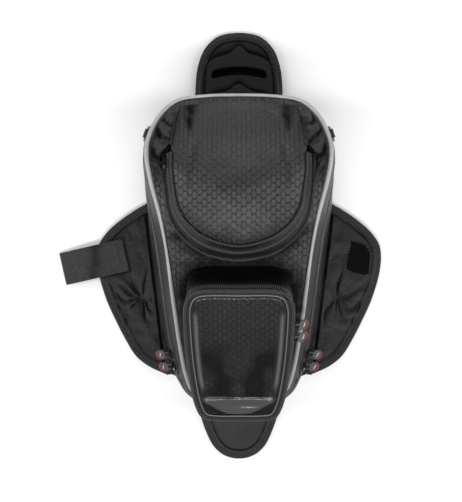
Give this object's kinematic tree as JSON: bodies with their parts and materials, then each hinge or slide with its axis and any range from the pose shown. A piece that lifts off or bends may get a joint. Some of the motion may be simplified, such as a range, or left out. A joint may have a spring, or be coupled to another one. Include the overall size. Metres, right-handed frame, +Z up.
{
  "type": "tank bag",
  "caption": "Soft motorcycle tank bag with a hinged zip lid, domed pocket, clear phone pocket and fold-out magnet flaps.",
  "frame": {"origin": "on the flat underside, on the plane of symmetry, level with the middle of the bag's body", "axes": "+Y to the front of the motorcycle, +X to the rider's right, +Z up from the tank"},
  "size_m": [0.375, 0.496, 0.1918],
  "materials": {
    "nylon": "plain woven nylon, slight sheen",
    "hex_fabric": "coated fabric with a fine hexagon pattern",
    "zip_tape": "ribbed zip tape with a coil",
    "reflective_piping": "light grey reflective piping",
    "dark_piping": "dark woven piping",
    "binding": "twill webbing",
    "grip_rubber": "matt non-slip sheet",
    "board": "plain stiffener board",
    "magnet": "plated magnet disc",
    "clear_vinyl": "clear glossy vinyl",
    "loop_fabric": "fuzzy loop pile",
    "black_metal": "gloss black",
    "pull_rubber": "grey moulded rubber with a red edge",
    "grey_ring": "grey moulded plastic"
  },
  "bodies": {
    "bag": {"grip_sheet": "grip_rubber", "base_board": "board", "body_tub": "nylon", "main_zip_lower": "zip_tape", "ring_tab_left": "binding", "ring_tab_right": "binding"},
    "lid": {"lid_wall": "nylon", "main_zip_upper": "zip_tape", "edge_piping": "reflective_piping", "lid_panel": "hex_fabric", "dome_wall": "nylon", "dome_zip_lower": "zip_tape", "dome_front": "hex_fabric", "gusset_left": "nylon", "gusset_right": "nylon", "phone_wall": "nylon", "phone_zip_lower": "zip_tape"},
    "dome_flap": {"dome_cover": "hex_fabric", "dome_skirt": "nylon", "dome_zip_upper": "zip_tape", "dome_rim_piping": "dark_piping"},
    "phone_cover": {"phone_rim": "nylon", "phone_zip_upper": "zip_tape", "phone_piping": "dark_piping", "phone_frame": "binding", "phone_window": "clear_vinyl"},
    "front_flap": {"front_flap_pad": "nylon", "front_flap_backing": "grip_rubber", "front_flap_binding": "binding", "front_flap_magnet": "magnet"},
    "rear_flap": {"rear_flap_pad": "nylon", "rear_flap_backing": "grip_rubber", "rear_flap_binding": "binding", "rear_flap_magnet": "magnet"},
    "left_wing": {"left_wing_pad": "nylon", "left_wing_backing": "grip_rubber", "left_wing_binding": "binding", "left_wing_magnet": "magnet", "strap_sewn": "binding"},
    "right_wing": {"right_wing_pad": "nylon", "right_wing_backing": "grip_rubber", "right_wing_binding": "binding", "right_wing_magnet": "magnet", "loop_patch": "loop_fabric"},
    "strap_end": {"strap_end": "binding"},
    "side_ring_left": {"side_ring_left": "grey_ring"},
    "side_ring_right": {"side_ring_right": "grey_ring"},
    "dome_slider": {"dome_slider": "black_metal"},
    "main_slider_right_upper": {"main_slider_right_upper": "black_metal"},
    "main_pull_right_upper": {"main_pull_right_upper": "pull_rubber"},
    "main_slider_right_lower": {"main_slider_right_lower": "black_metal"},
    "main_pull_right_lower": {"main_pull_right_lower": "pull_rubber"},
    "main_slider_left_upper": {"main_slider_left_upper": "black_metal"},
    "main_pull_left_upper": {"main_pull_left_upper": "pull_rubber"},
    "main_slider_left_lower": {"main_slider_left_lower": "black_metal"},
    "main_pull_left_lower": {"main_pull_left_lower": "pull_rubber"},
    "phone_slider_upper": {"phone_slider_upper": "black_metal"},
    "phone_pull_upper": {"phone_pull_upper": "pull_rubber"},
    "phone_slider_lower": {"phone_slider_lower": "black_metal"},
    "phone_pull_lower": {"phone_pull_lower": "pull_rubber"}
  },
  "joints": [
    {"name": "lid_hinge", "type": "hinge", "parent": "bag", "child": "lid", "pos_m": [0, -0.1785, 0.0278], "axis": [1, 0, 0], "range_deg": [0, 90]},
    {"name": "dome_hinge", "type": "hinge", "parent": "lid", "child": "dome_flap", "pos_m": [0, 0.1, 0.1835], "axis": [1, 0, 0], "range_deg": [-100, 0]},
    {"name": "phone_hinge", "type": "hinge", "parent": "lid", "child": "phone_cover", "pos_m": [0, -0.18096, 0.08616], "axis": [-1, 0, 0], "range_deg": [-110, 0]},
    {"name": "front_flap_hinge", "type": "hinge", "parent": "bag", "child": "front_flap", "pos_m": [0, 0.1685, 0.004], "axis": [1, 0, 0], "range_deg": [-45, 65]},
    {"name": "rear_flap_hinge", "type": "hinge", "parent": "bag", "child": "rear_flap", "pos_m": [0, -0.1805, 0.004], "axis": [1, 0, 0], "range_deg": [-65, 45]},
    {"name": "right_wing_hinge", "type": "hinge", "parent": "bag", "child": "right_wing", "pos_m": [0.108, 0.054, 0.004], "axis": [-0.1219, -0.9925, 0], "range_deg": [-60, 70]},
    {"name": "left_wing_hinge", "type": "hinge", "parent": "bag", "child": "left_wing", "pos_m": [-0.108, 0.054, 0.004], "axis": [-0.1219, 0.9925, 0], "range_deg": [-60, 70]},
    {"name": "strap_fold", "type": "hinge", "parent": "left_wing", "child": "strap_end", "pos_m": [-0.1681, -0.01393, 0.0086], "axis": [-0.2215, 0.9751, 0], "range_deg": [-45, 45]},
    {"name": "main_slider_right_upper_slide", "type": "slide", "parent": "bag", "child": "main_slider_right_upper", "axis": [0.2014, 0.9318, 0.3019], "range_m": [0, 0.02]},
    {"name": "main_pull_right_upper_hinge", "type": "hinge", "parent": "main_slider_right_upper", "child": "main_pull_right_upper", "pos_m": [0.07937, -0.11796, 0.04693], "axis": [0.2014, 0.9318, 0.3019], "range_deg": [-70, 38]},
    {"name": "main_slider_right_lower_slide", "type": "slide", "parent": "bag", "child": "main_slider_right_lower", "axis": [0.2552, 0.9205, 0.2959], "range_m": [-0.004, 0.0015]},
    {"name": "main_pull_right_lower_hinge", "type": "hinge", "parent": "main_slider_right_lower", "child": "main_pull_right_lower", "pos_m": [0.07621, -0.13163, 0.04257], "axis": [0.2552, 0.9205, 0.2959], "range_deg": [-70, 38]},
    {"name": "side_ring_right_pivot", "type": "hinge", "parent": "bag", "child": "side_ring_right", "pos_m": [0.10179, 0.12813, 0.07217], "axis": [-0.3326, 0.9431, 0], "range_deg": [-135, 0]},
    {"name": "main_slider_left_upper_slide", "type": "slide", "parent": "bag", "child": "main_slider_left_upper", "axis": [-0.2014, 0.9318, 0.3019], "range_m": [0, 0.02]},
    {"name": "main_pull_left_upper_hinge", "type": "hinge", "parent": "main_slider_left_upper", "child": "main_pull_left_upper", "pos_m": [-0.07937, -0.11796, 0.04693], "axis": [0.2014, -0.9318, -0.3019], "range_deg": [-70, 38]},
    {"name": "main_slider_left_lower_slide", "type": "slide", "parent": "bag", "child": "main_slider_left_lower", "axis": [-0.2552, 0.9205, 0.2959], "range_m": [-0.004, 0.0015]},
    {"name": "main_pull_left_lower_hinge", "type": "hinge", "parent": "main_slider_left_lower", "child": "main_pull_left_lower", "pos_m": [-0.07621, -0.13163, 0.04257], "axis": [0.2552, -0.9205, -0.2959], "range_deg": [-70, 38]},
    {"name": "side_ring_left_pivot", "type": "hinge", "parent": "bag", "child": "side_ring_left", "pos_m": [-0.10179, 0.12813, 0.07217], "axis": [-0.3326, -0.9431, 0], "range_deg": [-135, 0]},
    {"name": "phone_slider_upper_slide", "type": "slide", "parent": "lid", "child": "phone_slider_upper", "axis": [0.0302, 0.8953, 0.4444], "range_m": [0, 0.025]},
    {"name": "phone_pull_upper_hinge", "type": "hinge", "parent": "phone_slider_upper", "child": "phone_pull_upper", "pos_m": [0.05916, -0.0805, 0.13592], "axis": [0.0302, 0.8953, 0.4444], "range_deg": [-60, 45]},
    {"name": "phone_slider_lower_slide", "type": "slide", "parent": "lid", "child": "phone_slider_lower", "axis": [0.0541, 0.8944, 0.444], "range_m": [-0.045, 0.001]},
    {"name": "phone_pull_lower_hinge", "type": "hinge", "parent": "phone_slider_lower", "child": "phone_pull_lower", "pos_m": [0.05852, -0.09365, 0.12939], "axis": [0.0541, 0.8944, 0.444], "range_deg": [-60, 45]},
    {"name": "dome_slider_slide", "type": "slide", "parent": "lid", "child": "dome_slider", "axis": [-0.0001, 0.9911, -0.1333], "range_m": [-0.02, 0.004]}
  ]
}
